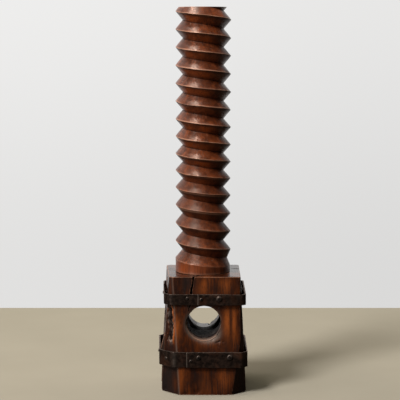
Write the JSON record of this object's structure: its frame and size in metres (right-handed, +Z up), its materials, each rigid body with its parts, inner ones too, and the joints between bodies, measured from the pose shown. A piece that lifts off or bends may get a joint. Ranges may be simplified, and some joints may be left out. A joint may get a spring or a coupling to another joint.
{
  "type": "press screw",
  "caption": "Wooden press screw with a left-hand V thread, tenoned into a tapered square head block with crossed bar holes and lapped iron straps.",
  "frame": {"origin": "on the screw's axis, level with the flat underside of the head block", "axes": "+Z up along the screw's axis, -Y towards the front face that carries the strap laps, +X to the right seen from the front"},
  "size_m": [0.3093, 0.308, 1.3],
  "materials": {
    "screw_timber": "reddish brown walnut, waxed and polished by handling",
    "head_timber": "dark brown hewn timber, waxed, with orange-red patches and old grime",
    "peg_wood": "dark riven oak",
    "wedge_wood": "nearly black hardwood, waxed",
    "strap_iron": "forged wrought iron, blackened, dull sheen, hammer marks",
    "nail_iron": "forged wrought iron, worn brighter on the heads"
  },
  "bodies": {
    "root": {"press_screw": "screw_timber", "screw_head": "head_timber", "tenon_pin": "peg_wood", "upper_band": "strap_iron", "lower_band": "strap_iron", "upper_lap_rivet_left": "nail_iron", "upper_lap_rivet_right": "nail_iron", "lower_lap_rivet_left": "nail_iron", "lower_lap_rivet_middle": "nail_iron", "lower_lap_rivet_right": "nail_iron", "upper_front_nail": "nail_iron", "lower_corner_nail": "nail_iron", "upper_side_nails": "nail_iron", "lower_side_nails": "nail_iron", "upper_left_shim": "strap_iron", "upper_right_wedge": "wedge_wood", "lower_left_wedge": "wedge_wood", "lower_right_wedge": "wedge_wood"}
  },
  "joints": []
}
